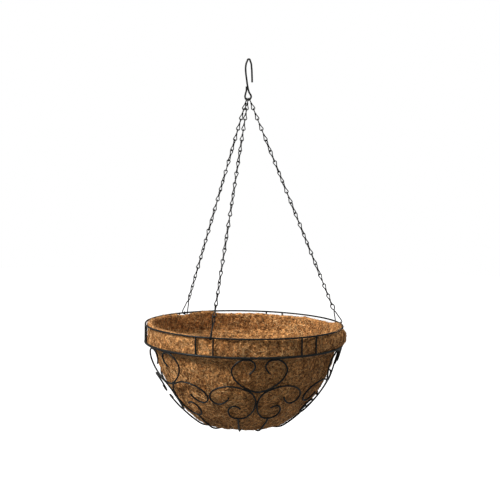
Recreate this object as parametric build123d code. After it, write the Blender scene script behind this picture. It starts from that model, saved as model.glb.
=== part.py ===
from build123d import *

import os
from math import atan2, cos, degrees, hypot, radians, sin, sqrt

# Hanging basket: a black wire frame with a coir liner, hung by three chains from one wire hook.
# Millimetres. The origin is the top of the inside of the hook's crook, +Z is up and the basket's
# axis is Z. An azimuth is counted from -Y (the front) towards +X.

# Driving dimensions
BASKET_DIAMETER = 356.4
RIM_BELOW_HOOK = 473.5
BASKET_DEPTH = 181.5
COLLAR_HEIGHT = 32.0
RING_WIRE = 3.0
LOWER_RING_WIRE = 4.0
FRAME_WIRE = 3.0
HOOK_WIRE = 3.2
LINK_WIRE = 1.8
CLIP_WIRE = 2.0
LINER_THICKNESS = 8.5

# Hook
CREST_X = 0.3
EYE_INNER_RADIUS = 3.6
EYE_DEPTH = 69.0
EYE_SEAT_ANGLES = (0.0, 35.5, -29.5)
EYE_SEAT_PLAY = 0.12

# Chains: a link's inner length is its pitch, and its loops are teardrops
LINKS_PER_CHAIN = 20
LINK_INNER_LENGTH = 20.45
LINK_LOOP_RADIUS = 2.95
LINK_NECK_OFFSET = 0.80
LINK_NECK_HEIGHT = 1.1
UPPER_RUN_LINKS = (10, 11, 11)
TOP_LINK_PLAY = 0.7
CHAIN_AZIMUTHS = (-18.0, 102.0, -140.0)
TWIST_PER_CHAIN = 400.0
TWIST_FIRST_LINK = 2.5
TWIST_LAST_LINK = 17.5
CLIP_REACH = 37.0

# Frame
UPRIGHT_PAIR_AZIMUTHS = (-21.8, 39.1, 99.3, 161.1, -141.0, -82.0)
UPRIGHT_HALF_SPREAD = 5.2
MOTIF_AZIMUTHS = (9.8, 79.0, 153.0, -131.0, -56.4)
BASE_RING_RADIUS = 26.0
WELD_BITE = 0.2

# The bowl that the scroll wires lie on: a circular arc that runs into a flat base
BOWL_RADIUS = 235.0
BOWL_CENTRE_R = -52.2
BOWL_CENTRE_DROP = -17.1
BOWL_TOP_ANGLE = 12.8
BOWL_END_ANGLE = 55.0

# Liner
COLLAR_RADIUS = 175.0
LINER_ABOVE_RIM = 2.0
LINER_BOWL_RADIUS = 213.8
LINER_CENTRE_R = -47.3
LINER_CENTRE_DROP = 1.3
LINER_STEP_TOP = 36.0
LINER_STEP_BOTTOM = 41.0
LINER_BASE_DROP = 179.5
LINER_CORNER_RADIUS = 30.0
CLIP_NOTCH_HALF_WIDTH = 2.8
CLIP_NOTCH_DEPTH = 8.0
CLIP_NOTCH_INNER = 9.5

RING_RADIUS = BASKET_DIAMETER / 2
RIM_Z = -RIM_BELOW_HOOK
LOWER_RING_Z = RIM_Z - COLLAR_HEIGHT
BASE_Z = RIM_Z - BASKET_DEPTH

os.makedirs("parts", exist_ok=True)


def write(name, shape):
    shape.label = name
    export_step(shape, f"parts/{name}.step")


def tangent_at(before, here, after):
    """Direction at the middle one of three points, along the circle through them."""
    back = here - before
    ahead = after - here
    return (back / back.length**2 + ahead / ahead.length**2).normalized()


def mirrored_tangent(near, far, far_tangent):
    """Direction at the end of an arc whose other end and direction there are known."""
    chord = (far - near).normalized()
    return (chord * (2 * far_tangent.dot(chord)) - far_tangent).normalized()


def arc_or_line(start, end, direction):
    """One circular arc that leaves start along direction, or a line where it wouldn't bend."""
    chord = end - start
    if direction.get_angle(chord) < 0.02:
        return Line(start, end)
    return TangentArc(start, end, tangent=direction)


def two_arcs(start, start_direction, end, end_direction):
    """Two arcs that join smoothly, between two points with given directions."""
    chord = end - start
    both = start_direction + end_direction
    slack = 2 * (1 - start_direction.dot(end_direction))
    along = chord.dot(both)
    if slack < 1e-9:
        reach = chord.dot(chord) / (2 * along)
    else:
        reach = (sqrt(along**2 + slack * chord.dot(chord)) - along) / slack
    middle = (start + start_direction * reach + end - end_direction * reach) / 2
    first = arc_or_line(start, middle, start_direction)
    join_direction = mirrored_tangent(middle, start, start_direction)
    return [first, arc_or_line(middle, end, join_direction)]


def bent_path(points):
    """A smooth path of arcs through the points."""
    points = [Vector(*p) for p in points]
    directions = [tangent_at(*points[i - 1 : i + 2]) for i in range(1, len(points) - 1)]
    directions.insert(0, mirrored_tangent(points[0], points[1], directions[0]))
    directions.append(mirrored_tangent(points[-1], points[-2], directions[-1]))
    edges = []
    for i in range(len(points) - 1):
        edges += two_arcs(points[i], directions[i], points[i + 1], directions[i + 1])
    return Wire(edges)


def round_wire(path, diameter):
    """A round wire of the given diameter along a path."""
    section = Plane(origin=path @ 0, z_dir=path % 0) * Circle(diameter / 2)
    return sweep(section, path=path)


def outward(azimuth):
    """Horizontal direction away from the axis at an azimuth."""
    return Vector(sin(radians(azimuth)), -cos(radians(azimuth)), 0)


def sideways(azimuth):
    """Horizontal direction along the rim at an azimuth."""
    return Vector(cos(radians(azimuth)), sin(radians(azimuth)), 0)


def at_azimuth(azimuth, radius, z):
    return outward(azimuth) * radius + Vector(0, 0, z)


# Hook ---------------------------------------------------------------------------------------

EYE_RADIUS = EYE_INNER_RADIUS + HOOK_WIRE / 2
EYE_CENTRE = Vector(0, 0, EYE_INNER_RADIUS - EYE_DEPTH)


def make_hook():
    """One bent wire: blunt point, crook, slanting shank, and an eye whose end lies on the shank."""
    crook = [
        (6.9, 0, -39.4),
        (6.4, 0, -27.0),
        (5.6, 0, -14.5),
        (3.7, 0, -3.6),
        (CREST_X, 0, HOOK_WIRE / 2),
        (-3.2, 0, -3.4),
        (-5.1, 0, -12.5),
        (-4.8, 0, -21.0),
        (-3.0, 0, -34.0),
        (-1.1, 0, -46.0),
        (0.9, 0, -54.5),
    ]
    eye = []
    for angle in (75, 35, -5, -45, -85):
        behind = 0.25 if angle < -60 else 0.0
        eye.append(
            (
                EYE_RADIUS * sin(radians(angle)),
                behind,
                EYE_CENTRE.Z - EYE_RADIUS * cos(radians(angle)),
            )
        )
    tail = [(-4.5, 1.3, -59.3), (-3.2, 2.3, -54.0), (-3.3, 2.6, -46.5)]
    return round_wire(bent_path(crook + eye + tail), HOOK_WIRE)


# Chains -------------------------------------------------------------------------------------


def hairpin(loop_sign):
    """Half a link: a teardrop loop in the XZ plane that opens at the link's middle."""
    loop_end = LINK_INNER_LENGTH / 2 + LINK_WIRE / 2
    centre_z = loop_end - LINK_LOOP_RADIUS
    rise = centre_z - LINK_NECK_HEIGHT
    reach = hypot(LINK_NECK_OFFSET, rise)
    angle = atan2(-rise, LINK_NECK_OFFSET) + atan2(
        sqrt(reach**2 - LINK_LOOP_RADIUS**2), LINK_LOOP_RADIUS
    )
    touch_x = LINK_LOOP_RADIUS * cos(angle)
    touch_z = centre_z + LINK_LOOP_RADIUS * sin(angle)
    s = loop_sign
    leg_out = Line((LINK_NECK_OFFSET, 0, s * LINK_NECK_HEIGHT), (touch_x, 0, s * touch_z))
    loop = ThreePointArc((touch_x, 0, s * touch_z), (0, 0, s * loop_end), (-touch_x, 0, s * touch_z))
    leg_back = Line((-touch_x, 0, s * touch_z), (-LINK_NECK_OFFSET, 0, s * LINK_NECK_HEIGHT))
    return round_wire(Wire([leg_out, loop, leg_back]), LINK_WIRE)


def make_link(link_twist):
    """A jack-chain link: two loops, the lower one turned a quarter turn and the twist."""
    neck = Cylinder(LINK_WIRE * 0.92, LINK_NECK_HEIGHT * 2 + LINK_WIRE)
    upper = hairpin(1)
    lower = hairpin(-1).rotate(Axis.Z, 90 + link_twist)
    return upper + neck + lower


def chain_frame(index):
    """One chain's seat on the eye's wire, its unit direction down, and its link spacing."""
    azimuth = CHAIN_AZIMUTHS[index]
    seat_angle = radians(EYE_SEAT_ANGLES[index])
    eye_wire = EYE_CENTRE + Vector(sin(seat_angle), 0, -cos(seat_angle)) * EYE_RADIUS
    down = (at_azimuth(azimuth, RING_RADIUS, RIM_Z) - eye_wire).normalized()
    seat = eye_wire - down * (HOOK_WIRE / 2 + EYE_SEAT_PLAY)
    chain_length = (at_azimuth(azimuth, RING_RADIUS, RIM_Z) - seat).length - CLIP_REACH
    return seat, down, (chain_length + TOP_LINK_PLAY) / LINKS_PER_CHAIN


def loop_turn(index):
    """Turn about the chain of the top link's upper loop, from the chain's radial plane."""
    seat_angle = radians(EYE_SEAT_ANGLES[index])
    along_eye = Vector(cos(seat_angle), 0, sin(seat_angle))
    down = chain_frame(index)[1]
    side = sideways(CHAIN_AZIMUTHS[index])
    in_loop = down.cross(along_eye - down * along_eye.dot(down)).normalized()
    return degrees(atan2(in_loop.dot(side), in_loop.dot(down.cross(side))))


def chain_links(index):
    """The links of one chain from the eye to the clip, as separate solids."""
    seat, down, spacing = chain_frame(index)
    side = sideways(CHAIN_AZIMUTHS[index])
    turn = loop_turn(index)
    half_turns = round((TWIST_PER_CHAIN + turn) / 180)
    total_twist = half_turns * 180 - turn
    span = TWIST_LAST_LINK - TWIST_FIRST_LINK
    step = total_twist / (2 * span)
    plain = make_link(0)
    twisted = make_link(step)
    links = []
    for k in range(LINKS_PER_CHAIN):
        in_span = TWIST_FIRST_LINK < k < TWIST_LAST_LINK
        link = twisted if in_span else plain
        centre = seat + down * (spacing * (k + 0.5) - (TOP_LINK_PLAY if k > 0 else 0))
        place = Plane(origin=centre, x_dir=down.cross(side), z_dir=-down)
        links.append(place * Rot(0, 0, turn) * link)
        turn += 180 + (2 * step if in_span else 0)
    return links


def make_clip(index):
    """A bail: loop at the top, legs that cross and spread, and ends hooked under the rim."""
    down = chain_frame(index)[1]
    side = sideways(CHAIN_AZIMUTHS[index])
    across = side.cross(down)
    anchor = at_azimuth(CHAIN_AZIMUTHS[index], RING_RADIUS, RIM_Z)
    loop_top = CLIP_REACH + CLIP_WIRE / 2
    apart = CLIP_WIRE / 2 + 0.1
    hook = RING_WIRE / 2 + CLIP_WIRE / 2 + 0.15
    leg = [
        (-hook * 0.93, hook * 0.37),
        (-hook * 0.8, -hook * 0.6),
        (hook * 0.1, -hook),
        (3.6, -2.6),
        (5.9, -0.6),
        (5.9, 2.8),
        (4.0, 11.0),
        (0.0, 25.5),
    ]
    loop = [(-2.6, 30.0), (-3.1, loop_top - 3.4), (0.0, loop_top), (3.1, loop_top - 3.4), (2.6, 30.0)]
    outline = [(q, w, 1.0) for q, w in leg]
    outline += [(q, w, 1.0 - 0.4 * (i + 0.5)) for i, (q, w) in enumerate(loop)]
    outline += [(-q, w, -1.0) for q, w in reversed(leg)]
    points = []
    for q, w, shift in outline:
        point = anchor - across * q - down * w + side * (shift * apart)
        points.append(tuple(point))
    return round_wire(bent_path(points), CLIP_WIRE)


# Frame --------------------------------------------------------------------------------------


def make_ring(radius, diameter, z):
    return Pos(0, 0, z) * Torus(radius, diameter / 2)


def make_upright(azimuth, rings):
    """A short upright between the two rings, its ends saddled to them."""
    foot = at_azimuth(azimuth, RING_RADIUS, LOWER_RING_Z)
    post = Plane(origin=foot) * Cylinder(
        FRAME_WIRE / 2, COLLAR_HEIGHT, align=(Align.CENTER, Align.CENTER, Align.MIN)
    )
    for ring in rings:
        post = post - ring
    return max(post.solids(), key=lambda solid: solid.volume)


def bowl_section(angle):
    """Radius and drop below the rim of the bowl's section at an angle of its arc, in degrees."""
    radius = BOWL_CENTRE_R + BOWL_RADIUS * cos(radians(angle))
    return radius, BOWL_CENTRE_DROP + BOWL_RADIUS * sin(radians(angle))


def bowl_point(azimuth, along, down_bowl):
    """A point of the bowl: arc length from the azimuth, and length down from the lower ring."""
    radius, drop = bowl_section(BOWL_TOP_ANGLE + degrees(down_bowl / BOWL_RADIUS))
    return tuple(at_azimuth(azimuth + degrees(along / radius), radius, RIM_Z - drop))


HEART_HALF = [
    (18, 27),
    (12, 20),
    (9, 13),
    (11, 6),
    (18, 1),
    (25, 0),
    (32, 1),
    (42, 7.5),
    (48.5, 20),
    (45, 33),
    (34, 46.5),
    (19, 57.5),
]
HEART_BOTTOM = (0, 63.5)
C_SCROLL_BOTTOM = (26.6, 132)
C_SCROLL = [
    (49, 78),
    (54.5, 89),
    (64, 94),
    (74, 91),
    (81.5, 82.5),
    (82.5, 70.5),
    (74, 60),
    (59.5, 54),
    (43, 53),
    (27, 57.2),
    (12, 65.1),
    (4.6, 76),
    (1.45, 91),
    (3.4, 107),
    (8.5, 120),
    (16, 129),
    C_SCROLL_BOTTOM,
    (37, 129),
    (44.3, 119.5),
    (46.3, 107.5),
    (42, 99.6),
    (33.6, 98.3),
    (27, 103),
]


def make_heart(azimuth):
    """The middle scroll of a motif: a heart open at the top, with two curls turned in."""
    outline = HEART_HALF + [HEART_BOTTOM] + [(-u, v) for u, v in reversed(HEART_HALF)]
    return round_wire(bent_path([bowl_point(azimuth, u, v) for u, v in outline]), FRAME_WIRE)


def make_c_scroll(azimuth, hand):
    """A C-shaped scroll beside the heart; hand is 1 on the right and -1 on the left."""
    points = [bowl_point(azimuth, hand * u, v) for u, v in C_SCROLL]
    return round_wire(bent_path(points), FRAME_WIRE)


def make_rib(azimuth, hand):
    """A rib in an upright plane, from a C-scroll's lowest point down and in to the base ring."""
    top_u, top_v = C_SCROLL_BOTTOM
    start_angle = BOWL_TOP_ANGLE + degrees((top_v + FRAME_WIRE / 2 - WELD_BITE) / BOWL_RADIUS)
    top_r = bowl_section(start_angle)[0]
    rib_azimuth = azimuth + hand * degrees(top_u / top_r)
    end_r, end_drop = bowl_section(BOWL_END_ANGLE)
    corner_radius = (BASKET_DEPTH - end_drop) / (1 - sin(radians(BOWL_END_ANGLE)))
    corner_r = end_r - corner_radius * cos(radians(BOWL_END_ANGLE))
    inner_end = BASE_RING_RADIUS + RING_WIRE / 2 - WELD_BITE

    def place(r, drop):
        return at_azimuth(rib_azimuth, r, RIM_Z - drop)

    middle = bowl_section((start_angle + BOWL_END_ANGLE) / 2)
    on_bowl = ThreePointArc(
        place(*bowl_section(start_angle)), place(*middle), place(end_r, end_drop)
    )
    corner = TangentArc(on_bowl @ 1, place(corner_r, BASKET_DEPTH), tangent=on_bowl % 1)
    foot = Line(corner @ 1, place(inner_end, BASKET_DEPTH))
    return round_wire(Wire([on_bowl, corner, foot]), FRAME_WIRE)


# Liner --------------------------------------------------------------------------------------


def liner_r(bowl_radius, drop):
    """Radius of a liner surface at a drop below the rim."""
    return LINER_CENTRE_R + sqrt(bowl_radius**2 - (drop - LINER_CENTRE_DROP) ** 2)


def liner_section(bowl_radius, collar_radius, base_drop, step_top, step_bottom):
    """Half section from the rim to the axis, of the space inside one surface of the liner."""
    top = (collar_radius, RIM_Z + LINER_ABOVE_RIM)
    step_out = (collar_radius, RIM_Z - step_top)
    step_in = (liner_r(bowl_radius, step_bottom), RIM_Z - step_bottom)
    middle_drop = (step_bottom + base_drop) / 2
    middle = (liner_r(bowl_radius, middle_drop), RIM_Z - middle_drop)
    foot = (liner_r(bowl_radius, base_drop), RIM_Z - base_drop)
    outline = [
        Line((0, top[1]), top),
        Line(top, step_out),
        Line(step_out, step_in),
        ThreePointArc(step_in, middle, foot),
        Line(foot, (0, foot[1])),
        Line((0, foot[1]), (0, top[1])),
    ]
    face = make_face(outline)
    corner = [v for v in face.vertices() if abs(v.X - foot[0]) < 0.01 and abs(v.Y - foot[1]) < 0.01]
    return fillet(corner, LINER_CORNER_RADIUS)


def make_liner():
    """The coir bowl: a collar behind the two rings, a step in under them, and a flat base."""
    t = LINER_THICKNESS
    outside = liner_section(
        LINER_BOWL_RADIUS, COLLAR_RADIUS, LINER_BASE_DROP, LINER_STEP_TOP, LINER_STEP_BOTTOM
    )
    inside = liner_section(
        LINER_BOWL_RADIUS - t, COLLAR_RADIUS - t, LINER_BASE_DROP - t, LINER_STEP_TOP + 1.5,
        LINER_STEP_BOTTOM + 1.5,
    )
    wall = Plane.XZ * (outside - inside)
    liner = revolve(wall, Axis.Z)
    for azimuth in CHAIN_AZIMUTHS:
        depth = CLIP_NOTCH_DEPTH + LINER_ABOVE_RIM
        length = CLIP_NOTCH_INNER + 4
        middle = RING_RADIUS - CLIP_NOTCH_INNER + length / 2
        notch = Box(length, CLIP_NOTCH_HALF_WIDTH * 2, depth * 2)
        place = Plane(
            origin=at_azimuth(azimuth, middle, RIM_Z + LINER_ABOVE_RIM),
            x_dir=outward(azimuth),
            z_dir=(0, 0, 1),
        )
        liner = liner - place * notch
    return max(liner.solids(), key=lambda solid: solid.volume)


# Write every sub-part -----------------------------------------------------------------------

write("hook", make_hook())

for index in range(len(CHAIN_AZIMUTHS)):
    links = chain_links(index)
    number = index + 1
    write(f"chain_{number}_top_link", links[0])
    first_lower = 1 + UPPER_RUN_LINKS[index]
    write(f"chain_{number}_upper_links", Compound(children=links[1:first_lower]))
    write(f"chain_{number}_lower_links", Compound(children=links[first_lower:]))
    write(f"chain_{number}_rim_clip", make_clip(index))

top_ring = make_ring(RING_RADIUS, RING_WIRE, RIM_Z)
lower_ring = make_ring(RING_RADIUS, LOWER_RING_WIRE, LOWER_RING_Z)
write("top_ring", top_ring)
write("lower_ring", lower_ring)
write("base_ring", make_ring(BASE_RING_RADIUS, RING_WIRE, BASE_Z))

for number, centre in enumerate(UPRIGHT_PAIR_AZIMUTHS, 1):
    for letter, hand in (("a", -1), ("b", 1)):
        upright = make_upright(centre + hand * UPRIGHT_HALF_SPREAD, (top_ring, lower_ring))
        write(f"upright_{number}{letter}", upright)

for number, azimuth in enumerate(MOTIF_AZIMUTHS, 1):
    write(f"heart_scroll_{number}", make_heart(azimuth))
    for letter, hand in (("a", -1), ("b", 1)):
        write(f"c_scroll_{number}{letter}", make_c_scroll(azimuth, hand))
        write(f"base_rib_{number}{letter}", make_rib(azimuth, hand))

write("coir_liner", make_liner())
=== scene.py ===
"""Looks of the hanging basket: coir liner and fibres, painted wire, floor, light and camera."""

import math

import bpy
import numpy as np
from mathutils import Matrix, Vector


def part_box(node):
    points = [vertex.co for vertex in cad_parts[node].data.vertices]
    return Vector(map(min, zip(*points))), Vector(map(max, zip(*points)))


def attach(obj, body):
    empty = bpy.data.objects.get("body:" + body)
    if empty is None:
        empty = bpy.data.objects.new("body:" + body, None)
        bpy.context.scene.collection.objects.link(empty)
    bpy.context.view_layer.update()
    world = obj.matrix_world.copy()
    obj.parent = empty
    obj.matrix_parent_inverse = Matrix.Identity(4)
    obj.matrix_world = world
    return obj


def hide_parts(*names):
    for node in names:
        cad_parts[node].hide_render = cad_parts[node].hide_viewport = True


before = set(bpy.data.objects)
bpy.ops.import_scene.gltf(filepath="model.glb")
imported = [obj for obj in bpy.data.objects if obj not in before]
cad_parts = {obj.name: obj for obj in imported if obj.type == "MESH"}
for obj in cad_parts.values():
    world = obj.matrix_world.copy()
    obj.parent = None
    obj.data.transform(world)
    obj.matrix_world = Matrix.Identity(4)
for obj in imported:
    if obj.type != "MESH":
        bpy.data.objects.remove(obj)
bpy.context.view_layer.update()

# Frame dimensions, in metres ------------------------------------------------------------------

ring_low, ring_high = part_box("top_ring")
RIM_Z = (ring_low.z + ring_high.z) / 2
RIM_WIRE_RADIUS = (ring_high.z - ring_low.z) / 2
RIM_RADIUS = ring_high.x - RIM_WIRE_RADIUS
CHAIN_AZIMUTHS = (-18.0, 102.0, -140.0)

# Liner -----------------------------------------------------------------------------------------

# Heights are given as drops below the rim's centre line. Azimuths are in degrees from the front,
# positive towards +X.
THICKNESS = 0.0085
COLLAR_RADIUS = 0.1750
COLLAR_TOP = 0.004
STEP_TOP = 0.0350
STEP_BOTTOM = 0.0420
STEP_SHIFT = 0.15
BOWL_RADIUS = 0.2138
BOWL_CENTRE_R = -0.0473
BOWL_CENTRE_DROP = 0.0013
BASE_DROP = 0.1795
CORNER_SOFTNESS = 0.030
STEP_SOFTNESS = 0.006
LINE_POINTS = 400
STEP_POINTS = 120

NOTCH_RADIUS = 0.1681
NOTCH_HALF_WIDTH = 0.0052
NOTCH_DEPTH = 0.0115
NOTCH_SLOPE = 0.004
NOTCH_END = 0.005

# The two rings press on the liner over these heights. Its face stays this far inside the wires'
# centre lines, so the wires bed into it a little.
LOWER_RING_DROP = 0.032
RIM_REACH = 0.0032
LOWER_RING_REACH = 0.0040
RING_EASE = 0.002
HELD_INSIDE_RINGS = 0.0009

# The torn edge: its usual height over the rim, the stretch at the rear where it has sunk, swells
# as (height, azimuth, half width), and rags as (height, size, shift) of the noise.
ABOVE_RIM = 0.0012
SUNK_DEPTH = 0.0044
SUNK_AZIMUTH = 160
SUNK_HALF_WIDTH = 62
SUNK_EASE = 14
EDGE_SWELLS = ((0.0052, -154, 11), (-0.0030, -137, 7), (0.0030, 84, 24), (0.0008, -85, 30))
EDGE_RAGS = ((0.0011, 0.030, 3.3), (0.0007, 0.009, 7.1), (0.0005, 0.004, 1.7))
EDGE_NOISE_RADIUS = 0.17
COLLAR_EASE = 0.030
LIP_HEIGHT = 0.0036
LIP_ROUNDNESS = 0.6
LIP_RAGS = ((0.0007, 0.0035, 6.2), (0.0006, 0.008, 1.2))

# The band between the rings and the bowl below them, as drops with the eases at their ends, and
# the wall's swells there as (reach, azimuth, half width).
BAND_MIDDLE = 0.0155
BAND_REACH = 0.021
BAND_EASE = 0.014
BOWL_TOP = 0.040
BOWL_TOP_EASE = 0.015
BOWL_END = 0.150
BOWL_END_EASE = 0.05
BULGE_AZIMUTH = 81.0
BULGE_REACH = 0.0092
BULGE_BEFORE = 40
BULGE_AFTER = 12
BAND_SWELL = (-0.0025, -78, 40)
BOWL_SWELLS = ((-0.0030, -70, 45), (0.0020, 70, 35))

# Lumps and pits of the felt, as (height, size, shift) of the noise.
LUMPS = ((0.0011, 0.034, 5.5), (0.0008, 0.014, 2.2), (0.00085, 0.0058, 9.1), (0.0006, 0.0028, 4.4))

AROUND = 560
OUTER_ROWS = 96
RIM_ROWS = 10
INNER_ROWS = 64

rng = np.random.default_rng(4127)
LATTICE = rng.random((32, 32, 32)) * 2 - 1


def smooth(x):
    """Eased step from 0 to 1."""
    x = np.clip(x, 0, 1)
    return x * x * (3 - 2 * x)


def noise(points, size, shift=0.0):
    """Value noise from -1 to 1 with features of about that size."""
    grid = np.asarray(points) / size + shift
    cell = np.floor(grid).astype(int)
    part = smooth(grid - cell)
    total = 0
    for dx in (0, 1):
        for dy in (0, 1):
            for dz in (0, 1):
                weight = (
                    (part[..., 0] if dx else 1 - part[..., 0])
                    * (part[..., 1] if dy else 1 - part[..., 1])
                    * (part[..., 2] if dz else 1 - part[..., 2])
                )
                corner = LATTICE[
                    (cell[..., 0] + dx) % 32, (cell[..., 1] + dy) % 32, (cell[..., 2] + dz) % 32
                ]
                total = total + weight * corner
    return total


def angle_gap(azimuth, centre):
    """Signed degrees from centre to azimuth."""
    return (azimuth - centre + 180) % 360 - 180


def bump(azimuth, centre, half_width):
    """1 at an azimuth, easing to 0 at half_width degrees either side."""
    return smooth(1 - np.abs(angle_gap(azimuth, centre)) / half_width)


def section(thickness_in):
    """Even (radius, drop) points from under the rim to the axis, at a depth inside the wall."""
    collar = COLLAR_RADIUS - thickness_in
    bowl = BOWL_RADIUS - thickness_in
    base = BASE_DROP - thickness_in
    corners = [(collar, COLLAR_TOP), (collar, STEP_TOP + STEP_SHIFT * thickness_in)]
    drop = STEP_BOTTOM + STEP_SHIFT * thickness_in
    for t in np.linspace(0, 1, 60):
        here = drop + (base - drop) * t
        radius = BOWL_CENTRE_R + math.sqrt(bowl**2 - (here - BOWL_CENTRE_DROP) ** 2)
        corners.append((radius, here))
    corners.append((0.0, base))
    corners = np.array(corners)
    lengths = np.concatenate([[0], np.cumsum(np.hypot(*np.diff(corners, axis=0).T))])
    at = np.linspace(0, lengths[-1], LINE_POINTS)
    line = np.stack([np.interp(at, lengths, corners[:, 0]), np.interp(at, lengths, corners[:, 1])], 1)
    step = lengths[-1] / (LINE_POINTS - 1)
    number = np.arange(LINE_POINTS)
    for reach, low, high in (
        (CORNER_SOFTNESS, STEP_POINTS, LINE_POINTS),
        (STEP_SOFTNESS, 0, STEP_POINTS),
    ):
        half = int(reach / step / 2)
        kernel = np.hanning(2 * half + 3)[1:-1]
        kernel /= kernel.sum()
        mirrored = np.concatenate([line, line[::-1][1:] * (-1, 1)])
        padded = np.pad(mirrored, ((half, half), (0, 0)), mode="edge")
        eased = np.stack([np.convolve(padded[:, k], kernel, "valid") for k in (0, 1)], 1)
        eased = eased[:LINE_POINTS]
        blend = smooth((number - low + 10) / 20) * smooth((high - number + 10) / 20)
        blend = blend[:, None]
        line = line * (1 - blend) + eased * blend
    line[0] = corners[0]
    line[-1, 0] = 0.0
    return line


OUTER_LINE = section(0.0)
INNER_LINE = section(THICKNESS)


def edge_height(azimuth):
    """Height of the liner's torn top edge over the rim's centre line."""
    from_rear = np.abs(angle_gap(azimuth, SUNK_AZIMUTH))
    height = ABOVE_RIM - SUNK_DEPTH * smooth((SUNK_HALF_WIDTH - from_rear) / SUNK_EASE)
    for reach, centre, half_width in EDGE_SWELLS:
        height = height + reach * bump(azimuth, centre, half_width)
    turn = np.radians(azimuth)
    where = np.stack([np.cos(turn), np.sin(turn), 0 * turn], -1) * EDGE_NOISE_RADIUS
    for reach, size, shift in EDGE_RAGS:
        height = height + reach * noise(where, size, shift)
    return height


def wall_point(azimuth, along, inside):
    """Points of the smooth wall. along runs from 0 under the top edge to 1 at the axis."""
    line = INNER_LINE if inside else OUTER_LINE
    at = along * (LINE_POINTS - 1)
    radius = np.interp(at, np.arange(LINE_POINTS), line[:, 0])
    drop = np.interp(at, np.arange(LINE_POINTS), line[:, 1])
    collar = smooth(1 - (drop - COLLAR_TOP) / COLLAR_EASE)
    drop = drop - edge_height(azimuth) * collar
    in_band = smooth((BAND_REACH - np.abs(drop - BAND_MIDDLE)) / BAND_EASE)
    in_bowl = smooth((drop - BOWL_TOP) / BOWL_TOP_EASE) * smooth((BOWL_END - drop) / BOWL_END_EASE)
    before = bump(azimuth, BULGE_AZIMUTH, BULGE_BEFORE)
    after = bump(azimuth, BULGE_AZIMUTH, BULGE_AFTER)
    bulge = np.where(angle_gap(azimuth, BULGE_AZIMUTH) < 0, before, after)
    radius = radius + BULGE_REACH * bulge * in_band
    reach, centre, half_width = BAND_SWELL
    radius = radius + reach * bump(azimuth, centre, half_width) * in_band
    for reach, centre, half_width in BOWL_SWELLS:
        radius = radius + reach * bump(azimuth, centre, half_width) * in_bowl
    return radius, drop


def to_space(azimuth, radius, drop):
    """Points in the row frame at an azimuth, a radius and a drop below the rim."""
    turn = np.radians(azimuth)
    return np.stack([np.sin(turn) * radius, -np.cos(turn) * radius, RIM_Z - drop], -1)


def roughened(points, normals):
    """Moves points along their normals by the felt's lumps and pits."""
    lump = sum(reach * noise(points, size, shift) for reach, size, shift in LUMPS)
    return points + normals * lump[..., None]


def scaled_to(points, radius, radius_new):
    """Moves points straight in or out from the axis."""
    scale = radius_new / np.maximum(radius, 1e-6)
    return points * np.stack([scale, scale, np.ones_like(scale)], -1)


def notched(points):
    """Presses the liner in behind each clip, so that the clip can turn."""
    radius = np.hypot(points[..., 0], points[..., 1])
    azimuth = np.degrees(np.arctan2(points[..., 0], -points[..., 1]))
    drop = RIM_Z - points[..., 2]
    for centre in CHAIN_AZIMUTHS:
        aside = np.abs(np.radians(angle_gap(azimuth, centre))) * RIM_RADIUS
        press = smooth((NOTCH_HALF_WIDTH + NOTCH_SLOPE - aside) / NOTCH_SLOPE)
        press = press * smooth((NOTCH_DEPTH + NOTCH_END - drop) / NOTCH_END)
        radius_new = radius + (np.minimum(radius, NOTCH_RADIUS) - radius) * press
        points = scaled_to(points, radius, radius_new)
        radius = radius_new
    return points


def kept_behind_rings(points):
    """Keeps the liner from passing the two rings' wires. Between them it may bulge."""
    radius = np.hypot(points[..., 0], points[..., 1])
    drop = RIM_Z - points[..., 2]
    near_rim = smooth((RIM_REACH - np.abs(drop)) / RING_EASE)
    near_lower = smooth((LOWER_RING_REACH - np.abs(drop - LOWER_RING_DROP)) / RING_EASE)
    near = np.maximum(near_rim, near_lower)
    over = np.maximum(radius - (RIM_RADIUS - HELD_INSIDE_RINGS), 0) * near
    return scaled_to(points, radius, radius - over)


def surface(azimuth, along, inside):
    """Finished liner surface and its outward normals at any parameters."""
    along_step = 1e-3
    beside = azimuth + 0.2
    near = to_space(azimuth, *wall_point(azimuth, along, inside))
    across = to_space(beside, *wall_point(beside, along, inside)) - near
    back = np.clip(along - along_step, 0, 1)
    ahead = np.clip(along + along_step, 0, 1)
    down = to_space(azimuth, *wall_point(azimuth, ahead, inside))
    down = down - to_space(azimuth, *wall_point(azimuth, back, inside))
    normals = np.cross(down, across)
    lengths = np.linalg.norm(normals, axis=-1, keepdims=True)
    straight_down = np.zeros_like(normals)
    straight_down[..., 2] = -1
    normals = np.where(lengths > 1e-12, normals / np.maximum(lengths, 1e-12), straight_down)
    if inside:
        normals = -normals
    points = roughened(near, normals)
    return kept_behind_rings(notched(points)), normals


def mesh_from(name, points, quads, triangles=()):
    """A smooth-shaded mesh piece, in the row frame, from arrays of points and corners."""
    mesh = bpy.data.meshes.new(name)
    quads = np.asarray(quads, np.int32).reshape(-1, 4)
    triangles = np.asarray(triangles, np.int32).reshape(-1, 3)
    corners = np.concatenate([quads.ravel(), triangles.ravel()])
    starts = np.concatenate([np.arange(len(quads)) * 4, quads.size + np.arange(len(triangles)) * 3])
    mesh.vertices.add(len(points))
    mesh.vertices.foreach_set("co", np.asarray(points, np.float32).ravel())
    mesh.loops.add(len(corners))
    mesh.loops.foreach_set("vertex_index", corners.astype(np.int32))
    mesh.polygons.add(len(starts))
    mesh.polygons.foreach_set("loop_start", starts.astype(np.int32))
    mesh.polygons.foreach_set("use_smooth", np.ones(len(starts), bool))
    mesh.update(calc_edges=True)
    piece = bpy.data.objects.new(name, mesh)
    bpy.context.scene.collection.objects.link(piece)
    return piece


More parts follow.
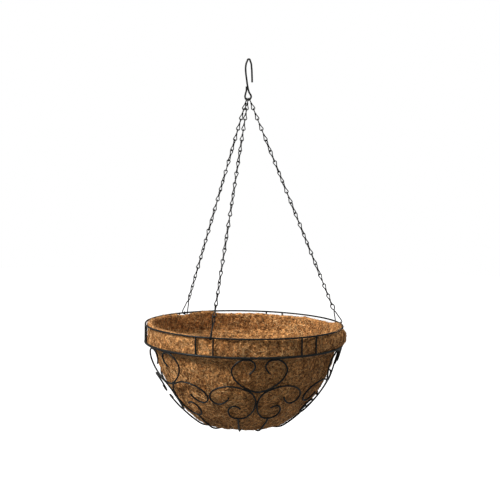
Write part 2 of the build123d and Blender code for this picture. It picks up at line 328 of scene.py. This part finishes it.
def make_liner():
    """One closed mesh: outside from the base to the rim, a frayed lip, and inside down to the base."""
    azimuth = np.arange(AROUND) * 360 / AROUND
    outer_along = np.linspace(0, 1, OUTER_ROWS + 1)[:-1]
    inner_along = np.linspace(0, 1, INNER_ROWS + 1)[:-1]
    rows = [surface(azimuth, np.full(AROUND, along), False)[0] for along in outer_along[::-1]]
    outer_top = rows[-1]
    inner_rows = [surface(azimuth, np.full(AROUND, along), True)[0] for along in inner_along]
    inner_top = inner_rows[0]
    for k in range(1, RIM_ROWS):
        turn = math.pi * k / RIM_ROWS
        side = (1 - math.cos(turn)) / 2
        row = outer_top * (1 - side) + inner_top * side
        ragged = sum(reach * noise(row, size, shift) for reach, size, shift in LIP_RAGS)
        row[:, 2] += math.sin(turn) ** LIP_ROUNDNESS * (LIP_HEIGHT + ragged)
        rows.append(row)
    rows += inner_rows
    points = np.concatenate(rows)
    count = len(rows)
    around = np.arange(AROUND)
    ahead = (around + 1) % AROUND
    step = (np.arange(count - 1) * AROUND)[:, None]
    quads = np.stack(
        [step + around, step + ahead, step + ahead + AROUND, step + around + AROUND], -1
    ).reshape(-1, 4)
    outer_pole = rows[0].mean(0)
    inner_pole = rows[-1].mean(0)
    points = np.concatenate([points, [outer_pole, inner_pole]])
    last = (count - 1) * AROUND
    under = np.stack([ahead, around, np.full(AROUND, count * AROUND)], -1)
    over = np.stack([last + around, last + ahead, np.full(AROUND, count * AROUND + 1)], -1)
    return mesh_from("liner", points, quads, np.concatenate([under, over]))


liner = make_liner()

# Fibres ----------------------------------------------------------------------------------------

FIBRE_STEPS = 7
FIBRE_REFERENCE = (0.31, 0.22, 0.925)
FIBRE_LENGTHS = (0.012, 0.040)
FIBRE_CURL = 38
FIBRE_WANDER = 0.22
FIBRE_ROOT_DEPTH = 0.0006
FIBRE_END = 0.45
LOOSE_SHARE = 0.10
LOOSE_REACH = (0.0006, 0.0030)
AXIS_CLEARANCE = 0.012
CLIP_TURNING_DEPTH = 0.016
CLIP_HALF_WIDTH = 0.0085
CLIP_HALF_WIDTH_AT_EDGE = 0.011

# Radius range and lift off the felt of the two sorts.
FINE = ((0.00014, 0.00032), 0.00070)
COARSE = ((0.00028, 0.00042), 0.00090)
EDGE_FIBRE_RADII = (0.00010, 0.00019)


def tubes(name, paths, radii):
    """Closed three-sided tubes, tapered to both ends, along rows of points."""
    count, steps = paths.shape[:2]
    tangents = np.gradient(paths, axis=1)
    tangents /= np.maximum(np.linalg.norm(tangents, axis=-1, keepdims=True), 1e-12)
    aside = np.cross(tangents, FIBRE_REFERENCE)
    aside /= np.maximum(np.linalg.norm(aside, axis=-1, keepdims=True), 1e-12)
    other = np.cross(tangents, aside)
    taper = FIBRE_END + (1 - FIBRE_END) * np.sin(np.linspace(0, np.pi, steps)) ** 0.5
    rings = []
    for k in range(3):
        turn = 2 * math.pi * k / 3
        reach = (radii[:, None] * taper)[..., None]
        rings.append(paths + (aside * math.cos(turn) + other * math.sin(turn)) * reach)
    points = np.stack(rings, 2).reshape(-1, 3)
    base = (np.arange(count) * steps * 3)[:, None, None]
    step = (np.arange(steps - 1) * 3)[None, :, None]
    here = np.arange(3)[None, None]
    beside = (here + 1) % 3
    quads = np.stack(
        [base + step + here, base + step + beside, base + step + beside + 3, base + step + here + 3], -1
    ).reshape(-1, 4)
    first = np.arange(count) * steps * 3
    last = first + (steps - 1) * 3
    ends = np.concatenate(
        [np.stack([first + 2, first + 1, first], -1), np.stack([last, last + 1, last + 2], -1)]
    )
    return mesh_from(name, points, quads, ends)


def near_clip(paths, reach, depth):
    """True for fibres that come within reach of a clip, above a depth below the rim."""
    azimuth = np.degrees(np.arctan2(paths[..., 0], -paths[..., 1]))
    drop = RIM_Z - paths[..., 2]
    touching = np.zeros(len(paths), bool)
    for centre in CHAIN_AZIMUTHS:
        aside = np.abs(np.radians(angle_gap(azimuth, centre))) * RIM_RADIUS
        touching |= ((aside < reach) & (drop < depth)).any(1)
    return touching


def felt_fibres(name, count, along_range, inside, sort):
    """Fibres lying in the face of the felt, in every direction, some with a free end."""
    thick, lift = sort
    azimuth = rng.uniform(0, 360, count)
    along = rng.uniform(*along_range, count)
    line = INNER_LINE if inside else OUTER_LINE
    total = np.hypot(*np.diff(line, axis=0).T).sum()
    heading = rng.uniform(0, 2 * math.pi, count)
    curl = rng.normal(0, FIBRE_CURL, count)
    wander = rng.normal(0, FIBRE_WANDER, (count, FIBRE_STEPS))
    length = rng.uniform(*FIBRE_LENGTHS, count)
    height = rng.uniform(-0.00005, lift, (count, 1)) * np.ones((1, FIBRE_STEPS))
    height[:, 0] -= FIBRE_ROOT_DEPTH
    height[:, -1] -= FIBRE_ROOT_DEPTH
    loose = rng.uniform(0, 1, count) < LOOSE_SHARE
    free = rng.uniform(*LOOSE_REACH, count)
    profile = np.linspace(0, 1, FIBRE_STEPS) ** 2.5
    height[loose] = height[loose] + profile * free[loose, None]
    step = length / (FIBRE_STEPS - 1)
    azimuths = [azimuth]
    alongs = [along]
    for k in range(1, FIBRE_STEPS):
        heading = heading + curl * step + wander[:, k]
        radius = np.interp(alongs[-1] * (LINE_POINTS - 1), np.arange(LINE_POINTS), line[:, 0])
        radius = np.maximum(radius, AXIS_CLEARANCE)
        azimuths.append(azimuths[-1] + np.degrees(np.cos(heading) * step / radius))
        alongs.append(np.clip(alongs[-1] + np.sin(heading) * step / total, 0.0, 0.995))
    points, normals = surface(np.stack(azimuths, 1), np.stack(alongs, 1), inside)
    paths = points + normals * height[..., None]
    radii = rng.uniform(*thick, count)
    keep = ~near_clip(paths, CLIP_HALF_WIDTH, CLIP_TURNING_DEPTH)
    return tubes(name, paths[keep], radii[keep])


def edge_fibres(name, count):
    """Fibres over the torn top edge, and loose ones that stand out of it."""
    azimuth = rng.uniform(0, 360, count)
    outer = surface(azimuth, np.zeros(count), False)[0]
    inner = surface(azimuth, np.zeros(count), True)[0]
    side = rng.uniform(0, 1, count)
    root = outer * (1 - side)[:, None] + inner * side[:, None]
    root[:, 2] += LIP_HEIGHT * np.sin(side * math.pi) ** LIP_ROUNDNESS - FIBRE_ROOT_DEPTH
    turn = np.radians(azimuth)
    radial = np.stack([np.sin(turn), -np.cos(turn), 0 * turn], 1)
    around = np.stack([np.cos(turn), np.sin(turn), 0 * turn], 1)
    lean = rng.normal(0, 1, (count, 3))
    outward = (0.5 - side) * 1.4 + lean[:, 1] * 0.35
    way = around * (lean[:, :1] * 1.6) + radial * outward[:, None]
    way[:, 2] = np.abs(lean[:, 2]) * 0.45 + 0.08
    way /= np.linalg.norm(way, axis=1, keepdims=True)
    length = rng.gamma(2.0, 0.0015, count) + 0.0025
    bend = rng.normal(0, 1, (count, 3)) * 0.35
    bend[:, 2] -= 0.45
    t = np.linspace(0, 1, FIBRE_STEPS)[None, :, None]
    paths = root[:, None] + length[:, None, None] * (way[:, None] * t + bend[:, None] * t**2 * 0.6)
    radii = rng.uniform(*EDGE_FIBRE_RADII, count)
    keep = ~near_clip(paths, CLIP_HALF_WIDTH_AT_EDGE, CLIP_TURNING_DEPTH)
    return tubes(name, paths[keep], radii[keep])


fibres = [
    felt_fibres("fibres_collar", 4200, (0.0, 0.16), False, FINE),
    felt_fibres("fibres_bowl_upper", 5000, (0.12, 0.45), False, FINE),
    felt_fibres("fibres_bowl_lower", 5000, (0.42, 0.98), False, FINE),
    felt_fibres("fibres_inside_upper", 5000, (0.0, 0.30), True, FINE),
    felt_fibres("fibres_inside_lower", 5000, (0.28, 0.98), True, FINE),
    edge_fibres("fibres_edge", 3000),
    felt_fibres("coarse_fibres_outside", 1500, (0.0, 0.90), False, COARSE),
    felt_fibres("coarse_fibres_inside", 1300, (0.0, 0.75), True, COARSE),
]

# Materials -------------------------------------------------------------------------------------

DARK_COIR = (0.040, 0.015, 0.004)
RED_COIR = (0.175, 0.064, 0.017)
MID_COIR = (0.370, 0.163, 0.050)
LIGHT_COIR = (0.640, 0.325, 0.118)
STRAW_COIR = (0.860, 0.575, 0.280)

# Turns of the felt's strands, in radians about X, Y and Z.
FIBRE_TURNS = (
    (0.0, 0.0, 0.0),
    (0.0, 0.0, 1.571),
    (0.0, 1.571, 0.3),
    (0.0, 0.785, 0.6),
    (0.0, -0.785, 0.9),
    (0.0, 0.65, 2.2),
    (0.0, -0.65, 2.5),
)
STRAND_SCALE = (60.0, 900.0, 900.0)


class Nodes:
    """Short calls for one material's nodes."""

    def __init__(self, name):
        self.material = bpy.data.materials.new(name)
        self.material.use_nodes = True
        self.tree = self.material.node_tree
        self.shader = self.tree.nodes["Principled BSDF"]

    def add(self, kind, **inputs):
        node = self.tree.nodes.new(kind)
        for key, value in inputs.items():
            self.put(node.inputs[key.replace("_", " ")], value)
        return node

    def put(self, socket, value):
        if isinstance(value, bpy.types.NodeSocket):
            self.tree.links.new(value, socket)
        else:
            socket.default_value = value

    def math(self, operation, a, b=0.0):
        node = self.tree.nodes.new("ShaderNodeMath")
        node.operation = operation
        self.put(node.inputs[0], a)
        self.put(node.inputs[1], b)
        return node.outputs[0]

    def vector_math(self, operation, a, b):
        node = self.tree.nodes.new("ShaderNodeVectorMath")
        node.operation = operation
        self.put(node.inputs[0], a)
        if operation == "SCALE":
            self.put(node.inputs["Scale"], b)
        else:
            self.put(node.inputs[1], b)
        return node.outputs[0]

    def mapping(self, vector, turn, scale):
        node = self.add("ShaderNodeMapping", Vector=vector)
        node.inputs["Rotation"].default_value = turn
        node.inputs["Scale"].default_value = scale
        return node.outputs[0]

    def noise(self, vector, scale, detail=2.0, roughness=0.5):
        return self.add(
            "ShaderNodeTexNoise",
            Vector=vector, Scale=scale, Detail=detail, Roughness=roughness,
        )

    def ramp(self, factor, stops):
        node = self.tree.nodes.new("ShaderNodeValToRGB")
        ramp = node.color_ramp
        while len(ramp.elements) < len(stops):
            ramp.elements.new(0.5)
        for element, (at, colour) in zip(ramp.elements, stops):
            element.position = at
            element.color = (*colour, 1.0)
        self.put(node.inputs[0], factor)
        return node.outputs[0]

    def mix(self, factor, a, b, blend="MIX"):
        node = self.tree.nodes.new("ShaderNodeMix")
        node.data_type = "RGBA"
        node.blend_type = blend
        for socket, value in zip((node.inputs[0], node.inputs[6], node.inputs[7]), (factor, a, b)):
            self.put(socket, (*value, 1.0) if isinstance(value, tuple) else value)
        return node.outputs[2]

    def map_range(self, value, low, high, to_low=0.0, to_high=1.0):
        node = self.tree.nodes.new("ShaderNodeMapRange")
        for socket, number in zip(node.inputs, (value, low, high, to_low, to_high)):
            self.put(socket, number)
        return node.outputs[0]

    def bump(self, height, strength, distance, under=None):
        node = self.tree.nodes.new("ShaderNodeBump")
        node.inputs["Strength"].default_value = strength
        node.inputs["Distance"].default_value = distance
        self.put(node.inputs["Height"], height)
        if under is not None:
            self.put(node.inputs["Normal"], under)
        return node.outputs[0]

    def set(self, **values):
        for key, value in values.items():
            self.put(self.shader.inputs[key.replace("_", " ")], value)
        return self.material


def mottling(n, place):
    """Clumps of fibre a few millimetres across that catch more or less light."""
    clumps = n.noise(place, 190.0, 2.0, 0.65).outputs["Fac"]
    tones = [
        (0.30, (0.27, 0.25, 0.23)),
        (0.46, (0.86, 0.86, 0.86)),
        (0.56, (1.14, 1.15, 1.15)),
        (0.72, (1.78, 1.82, 1.84)),
    ]
    return n.ramp(clumps, tones)


def coir_felt():
    """Needled coconut fibre: crossing strands, pits darkened with painted shade, and patches of lighter
    and redder tone.
    """
    n = Nodes("coir_felt")
    place = n.add("ShaderNodeTexCoord").outputs["Object"]
    drift = n.noise(place, 70.0, 1.0).outputs["Color"]
    drift = n.vector_math("SUBTRACT", drift, (0.5, 0.5, 0.5))
    bent = n.vector_math("ADD", place, n.vector_math("SCALE", drift, 0.012))
    strands = None
    for turn in FIBRE_TURNS:
        stretched = n.mapping(bent, turn, STRAND_SCALE)
        line = n.noise(stretched, 1.0, 1.0).outputs["Fac"]
        line = n.math("ABSOLUTE", n.math("SUBTRACT", line, 0.5))
        line = n.math("SUBTRACT", 1.0, n.math("MULTIPLY", line, 9.0))
        strands = line if strands is None else n.math("MAXIMUM", strands, line)
    strands = n.map_range(strands, 0.1, 1.0)
    pits = n.noise(bent, 420.0, 2.0, 0.6).outputs["Fac"]
    pits = n.map_range(pits, 0.36, 0.56)
    height = n.math("ADD", n.math("MULTIPLY", strands, 0.55), n.math("MULTIPLY", pits, 0.45))
    # Partly painted shade: the tone follows the felt's height, so the pits and gaps between the strands
    # are painted dark as shade in the hollows, while the raised strands keep the fibre's lighter tones.
    tone = n.ramp(
        height,
        [(0.12, DARK_COIR), (0.42, RED_COIR), (0.66, MID_COIR), (0.88, LIGHT_COIR)],
    )
    patches = n.noise(place, 26.0, 3.0, 0.6).outputs["Fac"]
    patches = n.ramp(
        patches,
        [(0.30, (0.72, 0.62, 0.52)), (0.50, (1.0, 1.0, 1.0)), (0.72, (1.18, 1.20, 1.16))],
    )
    colour = n.mix(1.0, tone, patches, "MULTIPLY")
    colour = n.mix(1.0, colour, mottling(n, place), "MULTIPLY")
    normal = n.bump(height, 0.9, 0.0011)
    rough = n.map_range(strands, 0.0, 1.0, 0.92, 0.62)
    return n.set(
        Base_Color=colour, Roughness=rough, Normal=normal, Specular_IOR_Level=0.10,
        Sheen_Weight=0.02, Sheen_Roughness=0.6,
    )


def coir_strand():
    """Single fibres, from dark brown to straw, each with its own tone and faint bands along it."""
    n = Nodes("coir_strand")
    own = n.add("ShaderNodeNewGeometry").outputs["Random Per Island"]
    tone = n.ramp(
        own,
        [
            (0.0, DARK_COIR),
            (0.16, RED_COIR),
            (0.42, MID_COIR),
            (0.66, LIGHT_COIR),
            (0.92, STRAW_COIR),
        ],
    )
    place = n.add("ShaderNodeTexCoord").outputs["Object"]
    bands = n.noise(place, 260.0, 2.0).outputs["Fac"]
    bands = n.ramp(bands, [(0.3, (0.78, 0.74, 0.70)), (0.7, (1.1, 1.1, 1.1))])
    colour = n.mix(1.0, tone, bands, "MULTIPLY")
    colour = n.mix(0.75, colour, mottling(n, place), "MULTIPLY")
    normal = n.bump(n.noise(place, 1800.0, 1.0).outputs["Fac"], 0.4, 0.0001)
    return n.set(Base_Color=colour, Roughness=0.55, Normal=normal, Specular_IOR_Level=0.18)


def painted_wire(name, colour, worn, roughness, gloss):
    """Black paint over steel wire: clouded gloss, fine grain, and faint rubbed spots."""
    n = Nodes(name)
    place = n.add("ShaderNodeTexCoord").outputs["Object"]
    clouds = n.noise(place, 60.0, 3.0, 0.6).outputs["Fac"]
    grain = n.noise(place, 900.0, 3.0, 0.55).outputs["Fac"]
    rubbed = n.noise(place, 210.0, 3.0, 0.7).outputs["Fac"]
    rubbed = n.map_range(rubbed, 0.66, 0.74)
    lighter = tuple(c * 2.4 + 0.004 for c in colour)
    base = n.mix(n.map_range(clouds, 0.35, 0.7), colour, lighter)
    base = n.mix(n.math("MULTIPLY", rubbed, 0.5), base, worn)
    texture = n.math("ADD", clouds, n.math("MULTIPLY", grain, 0.5))
    rough = n.map_range(texture, 0.4, 1.1, roughness - 0.10, roughness + 0.14)
    under = n.bump(clouds, 0.25, 0.0006)
    normal = n.bump(grain, 0.35, 0.00012, under)
    return n.set(
        Base_Color=base, Roughness=rough, Normal=normal, Specular_IOR_Level=0.17, Coat_Weight=gloss,
        Coat_Roughness=0.25,
    )


felt = coir_felt()
strand = coir_strand()
frame_paint = painted_wire("frame_paint", (0.0030, 0.0036, 0.0034), (0.030, 0.027, 0.024), 0.42, 0.04)
chain_paint = painted_wire("chain_paint", (0.0032, 0.0038, 0.0036), (0.060, 0.060, 0.057), 0.38, 0.05)
hook_paint = painted_wire("hook_paint", (0.0030, 0.0035, 0.0035), (0.050, 0.048, 0.046), 0.40, 0.04)

for name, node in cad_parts.items():
    if name == "coir_liner":
        continue
    paint = frame_paint
    if name.startswith("chain_"):
        paint = chain_paint
    elif name.startswith("hook"):
        paint = hook_paint
    for slot in node.material_slots:
        slot.material = paint

liner.data.materials.append(felt)
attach(liner, "basket")
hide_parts("coir_liner")
for piece in fibres:
    piece.data.materials.append(strand)
    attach(piece, "basket")

# Floor, light and camera -------------------------------------------------------------------------

FLOOR_Z = -1.3
FLOOR_RADIUS = 9.0
FLOOR_SIDES = 96
AMBIENT = 0.37
TARGET = (0.0, 0.0, RIM_Z - 0.05)
CAMERA_PLACE = (0.0083, -2.3, -0.1385)
CAMERA_PITCH = math.radians(85.02)
CAMERA_ROLL = math.radians(1.0)
CAMERA_LENS = 92.3
SENSOR_WIDTH = 36


def make_floor():
    """A wide plain disk, pale enough to meet the white background without a horizon."""
    around = np.linspace(0, 2 * math.pi, FLOOR_SIDES, endpoint=False)
    rim = np.stack([np.cos(around), np.sin(around), 0 * around], 1) * FLOOR_RADIUS
    rim[:, 2] = FLOOR_Z
    middle = [[0, 0, FLOOR_Z]]
    here = np.arange(FLOOR_SIDES)
    fans = np.stack([here, (here + 1) % FLOOR_SIDES, np.full(FLOOR_SIDES, FLOOR_SIDES)], 1)
    floor = mesh_from("floor", np.concatenate([rim, middle]), [], fans)
    n = Nodes("pale_floor")
    n.set(Base_Color=(0.86, 0.86, 0.86, 1.0), Roughness=0.9)
    n.set(Emission_Color=(1.0, 1.0, 1.0, 1.0), Emission_Strength=0.85)
    floor.data.materials.append(n.material)
    floor.visible_diffuse = False
    floor.visible_glossy = False


def make_light(name, place, size, power, colour):
    """A round area light that faces the basket."""
    data = bpy.data.lights.new(name, "AREA")
    data.shape = "DISK"
    data.size = size
    data.energy = power
    data.color = colour
    lamp = bpy.data.objects.new(name, data)
    away = Vector(TARGET) - Vector(place)
    lamp.matrix_world = Matrix.Translation(place) @ away.to_track_quat("-Z", "Y").to_matrix().to_4x4()
    bpy.context.scene.collection.objects.link(lamp)


def make_world():
    """Plain white behind the object, and a softer white that lights it."""
    world = bpy.data.worlds.new("studio")
    world.use_nodes = True
    tree = world.node_tree
    shown = tree.nodes["Background"]
    shown.inputs["Color"].default_value = (1.0, 1.0, 1.0, 1.0)
    shown.inputs["Strength"].default_value = 1.0
    lighting = tree.nodes.new("ShaderNodeBackground")
    lighting.inputs["Color"].default_value = (1.0, 1.0, 1.0, 1.0)
    lighting.inputs["Strength"].default_value = AMBIENT
    mix = tree.nodes.new("ShaderNodeMixShader")
    ray = tree.nodes.new("ShaderNodeLightPath")
    tree.links.new(ray.outputs["Is Camera Ray"], mix.inputs[0])
    tree.links.new(lighting.outputs[0], mix.inputs[1])
    tree.links.new(shown.outputs[0], mix.inputs[2])
    tree.links.new(mix.outputs[0], tree.nodes["World Output"].inputs["Surface"])
    bpy.context.scene.world = world


make_floor()
make_world()
make_light("key", place=(-2.00, -1.00, 0.95), size=0.6, power=92, colour=(1.0, 0.975, 0.94))
make_light("top", place=(0.15, -0.85, 1.80), size=0.7, power=24, colour=(1.0, 0.985, 0.96))

camera_data = bpy.data.cameras.new("camera")
camera_data.lens = CAMERA_LENS
camera_data.sensor_width = SENSOR_WIDTH
camera = bpy.data.objects.new("camera", camera_data)
camera.matrix_world = (
    Matrix.Translation(CAMERA_PLACE)
    @ Matrix.Rotation(CAMERA_PITCH, 4, "X")
    @ Matrix.Rotation(CAMERA_ROLL, 4, "Z")
)
bpy.context.scene.collection.objects.link(camera)
bpy.context.scene.camera = camera
bpy.context.scene.view_settings.view_transform = "Standard"
